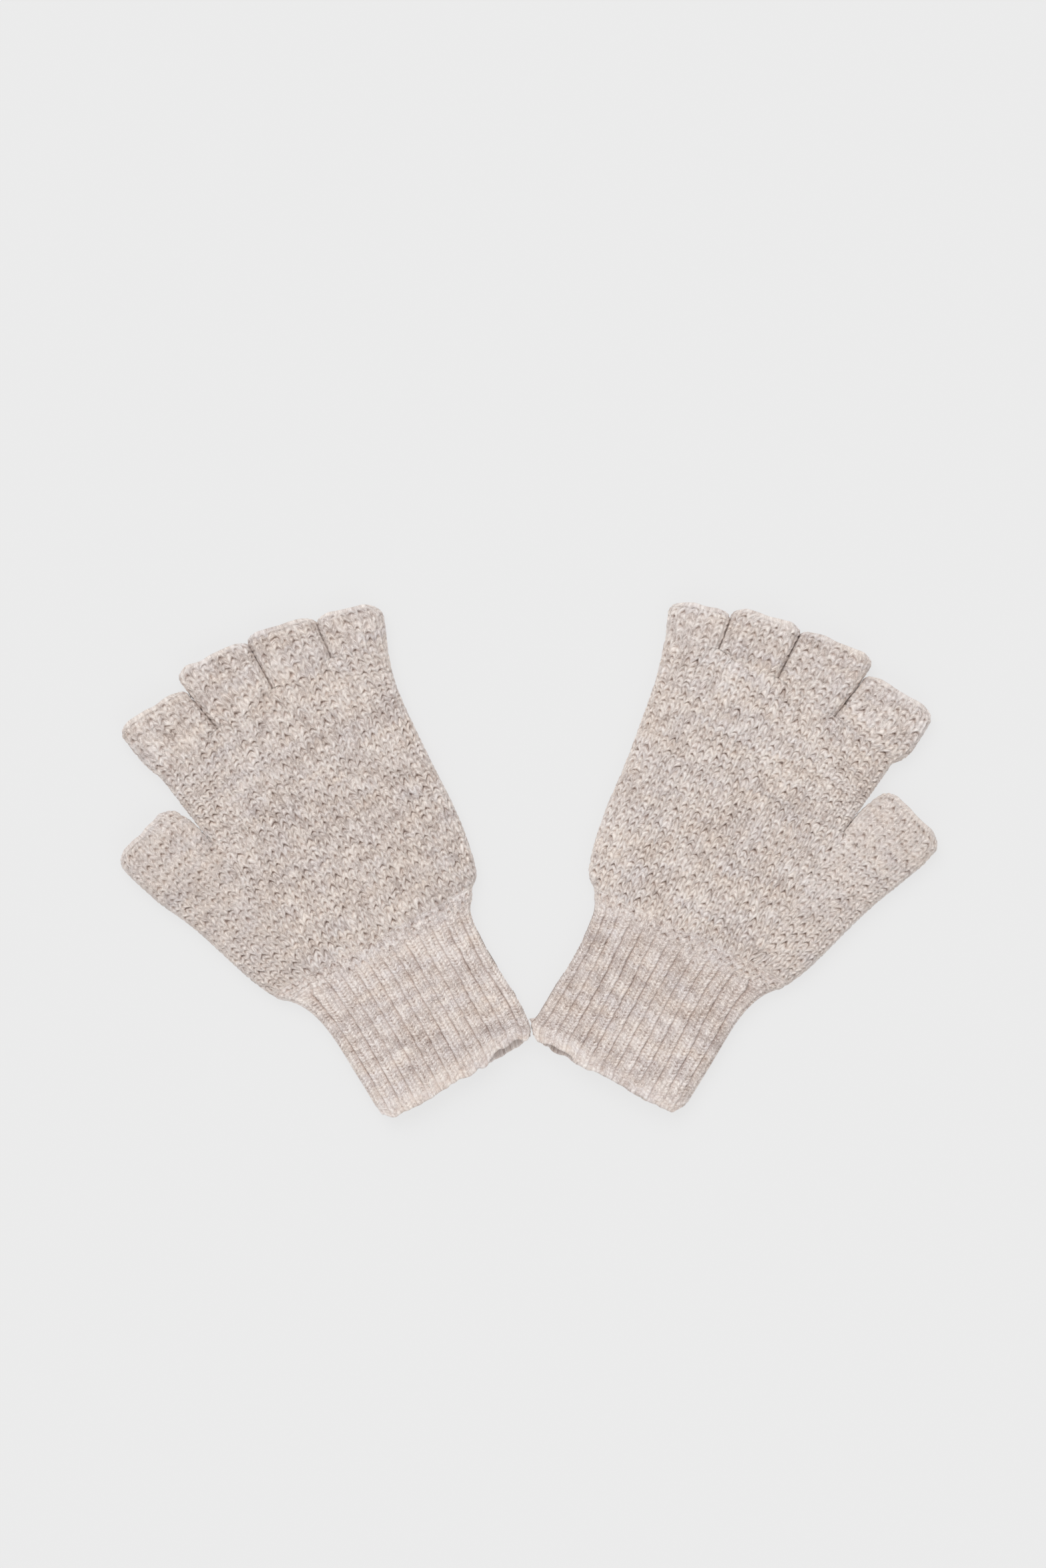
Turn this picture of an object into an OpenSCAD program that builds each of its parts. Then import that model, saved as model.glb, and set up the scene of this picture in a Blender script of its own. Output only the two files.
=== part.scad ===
// A pair of knitted wool gloves with open fingertips, lying flat side by side with the cuffs together.
// Millimetres. +Z is up, both gloves rest on z = 0, and the origin lies under the middle of the pair.
// Each glove is drawn once in its own frame: its cuff's mouth is on y = 0, its fingers point along +Y
// and its thumb is on the -X side. The right glove is the mirror image of the left one.
// Every piece is a flattened tube of fabric, open at both ends. Those that move turn about a line in
// the top face, so a stall or cuff that is folded up opens below and never runs into the hand.

/* [Glove] */
// Length of the ribbed cuff, from its mouth to the wrist
cuff_length = 58; // [54:0.5:62]
// Width of the ribbed cuff, lying flat
cuff_width = 66; // [64:0.5:68]
// Length of the hand, from the wrist to the root of the middle finger
hand_length = 104; // [100:0.5:108]
// Width of the hand across the roots of the fingers, lying flat
knuckle_width = 96; // [94:0.5:98]
// Height of the glove lying flat: two layers of fabric and the space between them
lying_height = 10; // [9.5:0.25:12]

/* [Stalls] */
// Length of the thumb stall
thumb_length = 22.5; // [18:0.5:30]
// Length of the index finger's stall
index_length = 24; // [18:0.5:40]
// Length of the middle finger's stall
middle_length = 24; // [18:0.5:40]
// Length of the ring finger's stall
ring_length = 19.5; // [16:0.5:40]
// Length of the little finger's stall
little_length = 15; // [12:0.5:30]

/* [Fabric] */
// Thickness of one layer of knitted fabric
fabric = 2.3; // [2:0.1:2.5]
// Length of the cast-off edge around the mouth of each stall
edge_length = 2.6; // [2:0.1:4]
// Length of the loose hem at the mouth of the cuff
hem_length = 5.5; // [4:0.5:8]
// Length of the joining seam at the wrist
seam_length = 2.6; // [2:0.1:4]
// Space between two pieces that move against each other
move_gap = 0.4; // [0.3:0.05:0.6]

/* [Pair] */
// How far the left glove leans to the left
left_lean = 28; // [26:0.5:32]
// How far the right glove leans to the right
right_lean = 26; // [26:0.5:30]
// How much shorter the right glove's finger stalls were knitted
right_shorter = 1.5; // [0:0.5:3]

/* [Hidden] */

wool = [0.80, 0.75, 0.72];
pale_wool = [0.86, 0.81, 0.78];

// Where each glove's own frame stands in the pair's frame
left_at = [-26.05, -82.35];
right_at = [29, -80.75];

// A hem or cast-off edge is rolled: it stands this much higher than the fabric beside it
edge_rise = 0.3;
// The trim of the stalls and the wrist seam hang this much clear of the surface under the glove
trim_lift = 0.2;
// Neighbouring stalls each stand back this much from the point where they meet
stall_inset = 0.4;
// The outer side of an end stall spreads this much between its root and its mouth
outer_flare = 1.5;
// Steps around each rounded side of a tube, and along each smooth rail
arc_steps = 6;
rail_steps = 3;
// How far a cutting shape runs past the solid that it cuts
past = 2;

// The hand's outline is laid out in shares of the knuckle width and of the hand's length
function hand_at(across, along) = [across * knuckle_width, cuff_length + along * hand_length];
// The cuff's outline is laid out in shares of the cuff's width and length
function cuff_at(across, along) = [across * cuff_width, along * cuff_length];

// The five points between the finger stalls, from the index finger's outer side to the little finger's
roots = [
  hand_at(-0.462, 0.898), hand_at(-0.189, 0.966), hand_at(0.075, 1), hand_at(0.333, 1), hand_at(0.536, 0.945)
];
// The two ends of the line where the thumb stall begins
thumb_outer = hand_at(-0.701, 0.511);
thumb_inner = hand_at(-0.417, 0.606);

// Each stall leans by this angle from the glove's own +Y, little-finger side positive
thumb_lean = -20;
index_lean = -14;
middle_lean = -6.5;
ring_lean = 0.5;
little_lean = 12.5;

// Smooth curve through the points: each stretch is a cubic whose slope at a point follows its neighbours
function spline(p, i, t) = let (
    a = p[max(i - 1, 0)], b = p[i], c = p[i + 1], d = p[min(i + 2, len(p) - 1)]
  ) b + t / 2 * ((c - a) + t * ((2 * a - 5 * b + 4 * c - d) + t * (3 * (b - c) + d - a)));
function smooth(p) = [
  for (i = [0 : len(p) - 2]) for (k = [0 : rail_steps - 1]) spline(p, i, k / rail_steps), p[len(p) - 1]
];

// One ring of a flattened tube between two points of its rails: flat above and below, round at the sides
function ring_points(left, right, inset, low, high) = let (
    middle = (left + right) / 2,
    half = norm(right - left) / 2 - inset,
    side = (right - left) / norm(right - left),
    radius = (high - low) / 2
  ) [
    for (turn = [0, 1]) for (i = [0 : arc_steps]) let (
      angle = 180 * turn - 90 + 180 * i / arc_steps,
      across = (1 - 2 * turn) * (half - radius) + radius * cos(angle),
      place = middle + across * side
    ) [place[0], place[1], (low + high) / 2 + radius * sin(angle)]
  ];

// Solid between two rails, with a ring at each pair of their points
module loft(left, right, inset, low, high) {
  sides = 2 * (arc_steps + 1);
  rings = len(left);
  points = [for (k = [0 : rings - 1]) each ring_points(left[k], right[k], inset, low, high)];
  walls = [
    for (k = [0 : rings - 2]) for (i = [0 : sides - 1]) let (
      a = k * sides + i, b = k * sides + (i + 1) % sides
    ) each [[a, b, b + sides], [a, b + sides, a + sides]]
  ];
  first_cap = [for (i = [sides - 1 : -1 : 0]) i];
  last_cap = [for (i = [0 : sides - 1]) (rings - 1) * sides + i];
  polyhedron(points, concat(walls, [first_cap, last_cap]));
}

// The same rail, run on past both of its ends
function run_on(rail) = let (
    n = len(rail),
    start = rail[0] - rail[1],
    finish = rail[n - 1] - rail[n - 2]
  ) concat([rail[0] + past * start / norm(start)], rail, [rail[n - 1] + past * finish / norm(finish)]);

// Tube of fabric between two rails, open at both ends
module sleeve(left, right, rise = 0, lift = 0) {
  difference() {
    loft(left, right, 0, lift, lying_height + rise);
    loft(run_on(left), run_on(right), fabric, fabric, lying_height - fabric);
  }
}

// Rails of the cuff, from its mouth up to the wrist, where it flares into the hand. The corner on the
// little finger's side is rounded, and the two gloves meet there.
cuff_left = smooth([
  cuff_at(-0.485, 0), cuff_at(-0.493, 0.05), cuff_at(-0.496, 0.14), cuff_at(-0.5, 0.3),
  cuff_at(-0.52, 0.65), cuff_at(-0.575, 0.9), cuff_at(-0.655, 1)
]);
cuff_right = smooth([
  cuff_at(0.455, 0), cuff_at(0.487, 0.05), cuff_at(0.507, 0.14), cuff_at(0.51, 0.3),
  cuff_at(0.488, 0.65), cuff_at(0.497, 0.9), cuff_at(0.53, 1)
]);

// A rail cut off at a given y: the stretch above it, and the stretch below it
function between(a, b, y) = a + (b - a) * (y - a[1]) / (b[1] - a[1]);
function above(rail, y) = let (k = [for (i = [0 : len(rail) - 1]) if (rail[i][1] > y) i][0])
  concat([between(rail[k - 1], rail[k], y)], [for (i = [k : len(rail) - 1]) rail[i]]);
function below(rail, y) = let (k = [for (i = [0 : len(rail) - 1]) if (rail[i][1] >= y) i][0])
  concat([for (i = [0 : k - 1]) rail[i]], [between(rail[k - 1], rail[k], y)]);

module cuff() {
  color(wool) sleeve(above(cuff_left, hem_length), above(cuff_right, hem_length));
}

module cuff_hem() {
  color(pale_wool) sleeve(below(cuff_left, hem_length), below(cuff_right, hem_length), edge_rise);
}

// The wrist seam and the hand share these two points
seam_top = cuff_length + move_gap + seam_length;
hand_start_left = [-0.485 * knuckle_width, seam_top];
hand_start_right = [0.39 * knuckle_width, seam_top];

module wrist_seam() {
  left = [[-0.661 * cuff_width, cuff_length + move_gap], hand_start_left];
  right = [[0.535 * cuff_width, cuff_length + move_gap], hand_start_right];
  color(wool) sleeve(left, right, 0, trim_lift);
}

// Rails of the palm, which run on past the fingers' roots, and of the thumb gusset, which joins it
palm_left = smooth([
  hand_start_left, hand_at(-0.43, 0.17), hand_at(-0.415, 0.4), thumb_inner,
  hand_at(-0.435, 0.72), roots[0], hand_at(-0.49, 1.02)
]);
palm_right = smooth([
  hand_start_right, hand_at(0.438, 0.09), hand_at(0.477, 0.28), hand_at(0.488, 0.55),
  hand_at(0.505, 0.8), roots[4], hand_at(0.565, 1.08)
]);
gusset_left = smooth([
  hand_start_left, hand_at(-0.53, 0.11), hand_at(-0.58, 0.235), hand_at(-0.63, 0.37), thumb_outer
]);
gusset_right = smooth([
  [-0.2 * knuckle_width, seam_top], hand_at(-0.2, 0.16), hand_at(-0.23, 0.3), hand_at(-0.31, 0.47),
  thumb_inner
]);

// Everything beyond the roots of the fingers, cut off the palm
module beyond_roots() {
  reach = 40;
  far = [for (r = [roots[4], roots[0]]) r + [sign(r[0]) * reach, reach]];
  near = [roots[0] + [-reach, -reach / 4], roots[4] + [reach, -reach / 3]];
  translate([0, 0, -past])
    linear_extrude(lying_height + 2 * past)
      polygon(concat([near[0]], roots, [near[1]], far));
}

module hand() {
  high = lying_height - fabric;
  color(wool) difference() {
    union() {
      loft(palm_left, palm_right, 0, 0, lying_height);
      loft(gusset_left, gusset_right, 0, 0, lying_height);
    }
    loft(run_on(palm_left), run_on(palm_right), fabric, fabric, high);
    loft(run_on(gusset_left), run_on(gusset_right), fabric, fabric, high);
    beyond_roots();
  }
}

// One stall between two root points: its tube, or the cast-off edge at the tube's open end.
// flare says how much further out its left and right sides are at the mouth than at the root.
module stall(from, to, lean, length, flare, is_edge) {
  along = [sin(lean), cos(lean)];
  across = [cos(lean), -sin(lean)];
  foot = [
    from + stall_inset * across + move_gap * along,
    to - stall_inset * across + move_gap * along
  ];
  // The root that reaches further sets how far the square mouth stands out
  mouth_along = max(foot[0] * along, foot[1] * along) + length;
  reach = [for (f = foot) mouth_along - f * along];
  side = [
    (reach[0] * along - flare[0] * across) / reach[0],
    (reach[1] * along + flare[1] * across) / reach[1]
  ];
  steps = is_edge ? [for (r = reach) [r - edge_length, r]] : [for (r = reach) [0, r - edge_length]];
  color(is_edge ? pale_wool : wool) sleeve(
    [for (step = steps[0]) foot[0] + step * side[0]],
    [for (step = steps[1]) foot[1] + step * side[1]],
    is_edge ? edge_rise : 0,
    is_edge ? trim_lift : 0
  );
}

module thumb(is_edge) {
  stall(thumb_outer, thumb_inner, thumb_lean, thumb_length, [0, 0], is_edge);
}

module index(is_edge, shorter) {
  stall(roots[0], roots[1], index_lean, index_length - shorter, [outer_flare, 0], is_edge);
}

module middle(is_edge, shorter) {
  stall(roots[1], roots[2], middle_lean, middle_length - shorter, [0, 0], is_edge);
}

module ring(is_edge, shorter) {
  stall(roots[2], roots[3], ring_lean, ring_length - shorter, [0, 0], is_edge);
}

module little(is_edge, shorter) {
  stall(roots[3], roots[4], little_lean, little_length - shorter, [0, outer_flare], is_edge);
}

// Put a piece of the left or the right glove in its place in the pair
module left() {
  translate([left_at[0], left_at[1], 0]) rotate(left_lean) children();
}

module right() {
  translate([right_at[0], right_at[1], 0]) rotate(-right_lean) mirror([1, 0, 0]) children();
}

left() hand();  // left_hand
left() wrist_seam();  // left_wrist_seam
left() cuff();  // left_cuff
left() cuff_hem();  // left_cuff_hem
left() thumb(false);  // left_thumb
left() thumb(true);  // left_thumb_hem
left() index(false, 0);  // left_index
left() index(true, 0);  // left_index_hem
left() middle(false, 0);  // left_middle
left() middle(true, 0);  // left_middle_hem
left() ring(false, 0);  // left_ring
left() ring(true, 0);  // left_ring_hem
left() little(false, 0);  // left_little
left() little(true, 0);  // left_little_hem
right() hand();  // right_hand
right() wrist_seam();  // right_wrist_seam
right() cuff();  // right_cuff
right() cuff_hem();  // right_cuff_hem
right() thumb(false);  // right_thumb
right() thumb(true);  // right_thumb_hem
right() index(false, right_shorter);  // right_index
right() index(true, right_shorter);  // right_index_hem
right() middle(false, right_shorter);  // right_middle
right() middle(true, right_shorter);  // right_middle_hem
right() ring(false, right_shorter);  // right_ring
right() ring(true, right_shorter);  // right_ring_hem
right() little(false, right_shorter);  // right_little
right() little(true, right_shorter);  // right_little_hem
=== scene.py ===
import math

import bpy
import numpy as np
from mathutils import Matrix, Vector


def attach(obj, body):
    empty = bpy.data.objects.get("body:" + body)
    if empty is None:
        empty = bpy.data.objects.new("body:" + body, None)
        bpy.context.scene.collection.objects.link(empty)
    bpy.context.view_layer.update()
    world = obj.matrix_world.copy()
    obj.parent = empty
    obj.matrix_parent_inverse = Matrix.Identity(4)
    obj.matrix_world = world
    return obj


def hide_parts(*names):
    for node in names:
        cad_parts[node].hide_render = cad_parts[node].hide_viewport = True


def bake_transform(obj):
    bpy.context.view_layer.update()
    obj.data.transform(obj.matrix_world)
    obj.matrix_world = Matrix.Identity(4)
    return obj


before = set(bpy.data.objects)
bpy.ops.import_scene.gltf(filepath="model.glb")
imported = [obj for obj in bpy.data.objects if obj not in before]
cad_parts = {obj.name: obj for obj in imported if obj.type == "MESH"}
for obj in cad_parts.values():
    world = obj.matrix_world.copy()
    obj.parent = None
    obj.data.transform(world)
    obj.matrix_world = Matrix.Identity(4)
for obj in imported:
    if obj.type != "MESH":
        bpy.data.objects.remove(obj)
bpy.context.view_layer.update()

MM = 0.001

# ---------------------------------------------------------------- camera, floor and lights

# The camera looks straight down on a point near the middle of the pair, with +Y up in the picture.
AIM = (-2.0, 28.25)
# The height of the picture on the floor, in millimetres
VIEW_HEIGHT = 587.75
CAMERA_UP = 4200.0
SENSOR = 36.0

WORLD_STRENGTH = 0.68
KEY_STRENGTH = 1.20
FILL_STRENGTH = 0.35
FLOOR_HALF_SIZE = 20.0
FLOOR_SHADE = 0.12
FLOOR_GLOW = 0.700


def new_object(name, data):
    ob = bpy.data.objects.new(name, data)
    bpy.context.scene.collection.objects.link(ob)
    return ob


def new_material(name):
    """A material with nodes, and its shader."""
    material = bpy.data.materials.new(name)
    material.use_nodes = True
    return material, material.node_tree.nodes["Principled BSDF"]


def set_inputs(node, values):
    for name, value in values.items():
        node.inputs[name].default_value = value


def make_camera():
    data = bpy.data.cameras.new("camera")
    data.sensor_width = SENSOR
    data.lens = SENSOR * CAMERA_UP / VIEW_HEIGHT
    data.clip_start = 0.01
    data.clip_end = 100.0
    camera = new_object("camera", data)
    camera.location = (AIM[0] * MM, AIM[1] * MM, CAMERA_UP * MM)
    bpy.context.scene.camera = camera


def sun(name, azimuth, elevation, softness, strength):
    """A soft distant light; azimuth is clockwise from +Y, and every angle is in degrees."""
    data = bpy.data.lights.new(name, "SUN")
    data.angle = math.radians(softness)
    data.energy = strength
    lamp = new_object(name, data)
    a, e = math.radians(azimuth), math.radians(elevation)
    back = Vector((math.sin(a) * math.cos(e), math.cos(a) * math.cos(e), math.sin(e)))
    lamp.location = back
    lamp.rotation_mode = "QUATERNION"
    lamp.rotation_quaternion = (-back).to_track_quat("-Z", "Y")


def make_studio():
    world = bpy.data.worlds.new("studio")
    world.use_nodes = True
    background = world.node_tree.nodes["Background"]
    set_inputs(background, {"Color": (1.0, 1.0, 1.0, 1.0), "Strength": WORLD_STRENGTH})
    bpy.context.scene.world = world
    sun("key", -25, 55, 50, KEY_STRENGTH)
    sun("fill", 150, 60, 60, FILL_STRENGTH)
    mesh = bpy.data.meshes.new("floor")
    size = FLOOR_HALF_SIZE
    corners = [(-size, -size, 0), (size, -size, 0), (size, size, 0), (-size, size, 0)]
    mesh.from_pydata(corners, [], [(0, 1, 2, 3)])
    floor = new_object("floor", mesh)
    material, shader = new_material("floor")
    # The floor's own glow keeps it an even pale grey, with only a faint shadow
    set_inputs(shader, {
        "Base Color": (FLOOR_SHADE, FLOOR_SHADE, FLOOR_SHADE, 1.0),
        "Roughness": 0.9,
        "Specular IOR Level": 0.1,
        "Emission Color": (1.0, 1.0, 1.0, 1.0),
        "Emission Strength": FLOOR_GLOW,
    })
    mesh.materials.append(material)


bpy.context.scene.view_settings.view_transform = "Standard"
make_camera()
make_studio()

# ---------------------------------------------------------------- dimensions, as in the CAD part

CUFF_LENGTH = 58.0
CUFF_WIDTH = 66.0
HAND_LENGTH = 104.0
KNUCKLE_WIDTH = 96.0
HEM_LENGTH = 5.5
SEAM_LENGTH = 2.6
MOVE_GAP = 0.4
SEAM_TOP = CUFF_LENGTH + MOVE_GAP + SEAM_LENGTH

COURSE = 2.4
THUMB_COURSES = 25
ROOT_COURSES = (CUFF_LENGTH + HAND_LENGTH - SEAM_TOP) / COURSE

# The rim of the flattened tube lies at RIM_HEIGHT, and the top and the underside stand off it by these
RIM_HEIGHT = 4.3
TOP_RISE = 5.0
UNDER_DROP = 3.45
WALL = 1.7


def hand_at(across, along):
    return (across * KNUCKLE_WIDTH, CUFF_LENGTH + along * HAND_LENGTH)


def cuff_at(across, along):
    return (across * CUFF_WIDTH, along * CUFF_LENGTH)


# The fingers' roots, from the index finger's outer side to the little finger's
ROOTS = np.array([
    hand_at(-0.462, 0.898),
    hand_at(-0.189, 0.966),
    hand_at(0.075, 1),
    hand_at(0.333, 1),
    hand_at(0.536, 0.945),
])
THUMB_OUTER = np.array(hand_at(-0.701, 0.511))
THUMB_INNER = np.array(hand_at(-0.417, 0.606))
HAND_LEFT = (-0.485 * KNUCKLE_WIDTH, SEAM_TOP)
HAND_RIGHT = (0.39 * KNUCKLE_WIDTH, SEAM_TOP)
GORE_FOOT = np.array((-30.0, SEAM_TOP))
# Half the gap between two stalls
CROTCH = 0.06
FINGERS = ("index", "middle", "ring", "little")


def smooth_rail(points, steps=8):
    """Smooth curve through the points, each stretch a cubic, as in the CAD part."""
    p = np.array(points, float)
    out = []
    for i in range(len(p) - 1):
        a, b, c, d = p[max(i - 1, 0)], p[i], p[i + 1], p[min(i + 2, len(p) - 1)]
        for k in range(steps):
            t = k / steps
            out.append(b + t / 2 * ((c - a) + t * ((2 * a - 5 * b + 4 * c - d) + t * (3 * (b - c) + d - a))))
    out.append(p[-1])
    return np.array(out)


def at_y(rail, y):
    """The rail's points at these heights."""
    return np.stack([np.interp(y, rail[:, 1], rail[:, 0]), np.asarray(y, float)], -1)


def along_rail(rail, t):
    """The rail's points at these shares of its length."""
    run = np.concatenate([[0], np.cumsum(np.linalg.norm(np.diff(rail, axis=0), axis=1))])
    s = np.asarray(t) * run[-1]
    return np.stack([np.interp(s, run, rail[:, 0]), np.interp(s, run, rail[:, 1])], -1)


def ease(t):
    """0 up to t = 0 and 1 from t = 1 on, with a smooth step between them."""
    t = np.clip(t, 0, 1)
    return t * t * (3 - 2 * t)


def bell(t, width):
    """1 at t = 0, fading to nothing either side over about twice the width."""
    return np.exp(-((t / width) ** 2))


# ---------------------------------------------------------------- smooth noise and per-stitch chance

CHANCE = {}


def chance(i, j, seed):
    """A fixed random number from -1 to 1 for each pair of whole numbers."""
    if seed not in CHANCE:
        CHANCE[seed] = np.random.default_rng(seed).uniform(-1, 1, (256, 256))
    return CHANCE[seed][np.asarray(i).astype(int) % 256, np.asarray(j).astype(int) % 256]


def noise(x, y, seed):
    """Smooth noise from -1 to 1, one cell to each whole number."""
    i, j = np.floor(x), np.floor(y)
    u, v = ease(x - i), ease(y - j)
    low = chance(i, j, seed) * (1 - u) + chance(i + 1, j, seed) * u
    high = chance(i, j + 1, seed) * (1 - u) + chance(i + 1, j + 1, seed) * u
    return low * (1 - v) + high * v


# ---------------------------------------------------------------- the outline and the body of the glove


# How far from its tips each stall's two corners start to round
CORNERS = {
    "thumb": (4.5, 3.5), "index": (4.0, 2.6), "middle": (3.4, 2.6), "ring": (3.2, 3.2), "little": (3.6, 5.2),
}
CORNER_POINTS = 12
# Each stall's two sides: a point that the side passes, and its corner. The two that are missing differ from
# glove to glove.
SIDES = {
    "thumb": [((-72.1, 122.3), (-75.2, 133.0)), ((-42.7, 131.6), (-48.0, 141.3))],
    "index": [None, ((-20.5, 168.5), (-22.5, 179.2))],
    "middle": [((-20.4, 170.0), (-22.4, 185.2)), ((6.9, 172.0), (6.7, 183.4))],
    "ring": [((7.3, 173.0), (7.0, 184.8)), ((32.5, 171.0), (33.4, 180.3))],
    "little": [((32.7, 171.0), (33.5, 179.6)), None],
}


def turn_in(rail, other, radius):
    """Rounds a stall's corner: the end of the rail turns in towards the other rail."""
    length = np.linalg.norm(np.diff(rail, axis=0), axis=1).sum()
    straight = np.linspace(length, radius, CORNER_POINTS)[:-1]
    gap = np.concatenate([straight, radius * np.linspace(1, 0, CORNER_POINTS) ** 1.5])
    points = along_rail(rail, 1 - gap / length)
    inward = (other[-1] - rail[-1]) / np.linalg.norm(other[-1] - rail[-1])
    # The arc stops a little short of the full quarter turn
    into = np.clip(1 - gap / radius, 0, 0.94)
    return points + (radius * (1 - np.sqrt(1 - into ** 2)))[:, None] * inward


class Outline:
    """A glove's plan: its outer edges and the slits between its stalls, in the glove's own frame."""

    def __init__(self, thumb_side, little_side, trims, roots_out, index_side, little_finger_side):
        """thumb_side and little_side say how far each edge of this glove lies from the pattern, as pairs of a
        height and a shift; trims says how much shorter each stall's corners were knitted; roots_out says how
        far out the index and little fingers' roots lie; index_side and little_finger_side are those stalls'
        outer sides, as in SIDES."""
        roots = ROOTS.copy()
        roots[0, 0] -= roots_out[0]
        roots[4, 0] += roots_out[1]
        self.roots = roots
        self.gusset = smooth_rail([
            HAND_LEFT, hand_at(-0.532, 0.11), hand_at(-0.583, 0.235), hand_at(-0.634, 0.37), THUMB_OUTER
        ])
        self.palm_left = smooth_rail([THUMB_INNER, hand_at(-0.439, 0.72), roots[0]])
        self.palm_right = smooth_rail([
            HAND_RIGHT, hand_at(0.445, 0.09), hand_at(0.479, 0.28), hand_at(0.488, 0.55),
            hand_at(0.505, 0.8), roots[4]
        ])
        # The cuff's rails start at the mouth and run up to the hand
        self.cuff_left = np.vstack([smooth_rail([
            cuff_at(-0.485, 0), cuff_at(-0.493, 0.05), cuff_at(-0.496, 0.14), cuff_at(-0.5, 0.3),
            cuff_at(-0.52, 0.65), cuff_at(-0.583, 0.9), cuff_at(-0.672, 1)
        ]), self.gusset[:1]])
        self.cuff_right = np.vstack([smooth_rail([
            cuff_at(0.474, 0), cuff_at(0.497, 0.05), cuff_at(0.507, 0.14), cuff_at(0.51, 0.3),
            cuff_at(0.488, 0.65), cuff_at(0.500, 0.9), cuff_at(0.54, 1)
        ]), self.palm_right[:1]])
        self.shift((self.cuff_left, self.gusset), thumb_side)
        self.shift((self.cuff_right, self.palm_right), little_side)
        gap = (CROTCH, 0)
        sides = dict(SIDES)
        sides["index"] = [index_side, SIDES["index"][1]]
        sides["little"] = [SIDES["little"][0], little_finger_side]
        starts = {"thumb": (self.gusset[-1], THUMB_INNER)}
        for k, name in enumerate(FINGERS):
            starts[name] = (roots[k] + gap if k else roots[k], roots[k + 1] - gap if k < 3 else roots[k + 1])
        self.stalls = {}
        for name in SIDES:
            rails = []
            for start, (middle, (x, y)), trim in zip(starts[name], sides[name], trims[name]):
                rails.append(smooth_rail([start, middle, (x, y - trim)]))
            first, second = CORNERS[name]
            self.stalls[name] = (turn_in(rails[0], rails[1], first), turn_in(rails[1], rails[0], second))
        self.slits = [side for name in FINGERS for side in self.stalls[name]][1:-1]
        self.outer = [
            self.cuff_left, self.cuff_right, self.gusset, self.palm_left, self.palm_right,
            *self.stalls["thumb"], self.stalls["index"][0], self.stalls["little"][1],
        ]

    def shift(self, rails, by):
        """Moves the rails sideways by the smooth curve through these pairs of a height and a shift."""
        curve = smooth_rail(by)
        for rail in rails:
            rail[:, 0] += np.interp(rail[:, 1], curve[:, 0], curve[:, 1])


def nearest(points, lines):
    """Distance from each point to the lines, and the direction away from the nearest one."""
    a = np.vstack([line[:-1] for line in lines])
    ab = np.vstack([line[1:] for line in lines]) - a
    length2 = (ab ** 2).sum(1)
    flat = points.reshape(-1, 2)
    distance = np.empty(len(flat))
    away = np.empty((len(flat), 2))
    # A few thousand points at a time, to spare memory
    step = 8192
    for k in range(0, len(flat), step):
        p = flat[k:k + step]
        dx = p[:, None, 0] - a[None, :, 0]
        dy = p[:, None, 1] - a[None, :, 1]
        t = np.clip((dx * ab[:, 0] + dy * ab[:, 1]) / length2, 0, 1)
        dx = dx - t * ab[:, 0]
        dy = dy - t * ab[:, 1]
        d2 = dx * dx + dy * dy
        best = d2.argmin(1)
        rows = np.arange(len(p))
        d = np.sqrt(d2[rows, best])
        distance[k:k + step] = d
        safe = np.maximum(d, 1e-9)
        away[k:k + step, 0] = dx[rows, best] / safe
        away[k:k + step, 1] = dy[rows, best] / safe
    return distance.reshape(points.shape[:-1]), away.reshape(points.shape)


# How full the edges' rounding is; 2 would be a quarter of an ellipse
ROUNDNESS = 2.2
# How far in from an outer edge, and from a slit, each face reaches its full height
OUTER_REACH = 15.0
SLIT_REACH = 2.8
UNDER_OUTER_REACH = 7.0
UNDER_SLIT_REACH = 4.0
# The rounding beside the slits widens from here up to the stalls' mouths
MOUTH_START = 166
MOUTH_LENGTH = 14
MOUTH_SPREAD = 0.8


def swell(d, reach):
    """Height from 0 at an edge to 1 at reach from it, and its slope."""
    q = np.clip(1 - d / reach, 0, 1)
    inside = np.maximum(1 - q ** ROUNDNESS, 1e-9)
    slope = inside ** (1 / ROUNDNESS - 1) * q ** (ROUNDNESS - 1) / reach
    return inside ** (1 / ROUNDNESS), np.where(d < reach, slope, 0)


def body(outline, points, seed):
    """The glove's surfaces over these plan points: top and underside heights, and their normals."""
    d_out, away_out = nearest(points, outline.outer)
    d_slit, away_slit = nearest(points, outline.slits)
    result = {"d": np.minimum(d_out, d_slit), "slit": d_slit}
    x, y = points[..., 0], points[..., 1]
    wider = 1 + MOUTH_SPREAD * ease((y - MOUTH_START) / MOUTH_LENGTH)
    waves = 0.09 * noise(x / 26 + 3.1, y / 21, seed) + 0.035 * noise(x / 9, y / 8 + 7.7, seed + 1)
    for side, rise, reach, slit_reach, uneven in (
        ("top", TOP_RISE, OUTER_REACH, SLIT_REACH, waves),
        ("under", -UNDER_DROP, UNDER_OUTER_REACH, UNDER_SLIT_REACH, 0.0),
    ):
        h_out, slope_out = swell(d_out, reach)
        h_slit, slope_slit = swell(d_slit, slit_reach * wider)
        by_slit = h_slit < h_out
        h = np.where(by_slit, h_slit, h_out)
        slope = np.where(by_slit, slope_slit, slope_out)
        away = np.where(by_slit[..., None], away_slit, away_out)
        z = RIM_HEIGHT + rise * h * (1 + uneven * h)
        up = np.full(h.shape + (1,), 1.0 if rise > 0 else -1.0)
        normal = np.concatenate([-away * (slope * abs(rise))[..., None], up], -1)
        normal /= np.linalg.norm(normal, axis=-1, keepdims=True)
        result[side] = (z, normal, away)
    return result


# How much longer than its plan the fabric is at the rim, and how wide the band is where it is
RIM_EXTRA = 1.3
RIM_BAND = 2.4


def rim_shift(d):
    """The fabric coordinate runs on past the plan by this much near the rim."""
    q = np.clip(1 - d / RIM_BAND, 0, 1)
    return RIM_EXTRA * q * q


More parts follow.
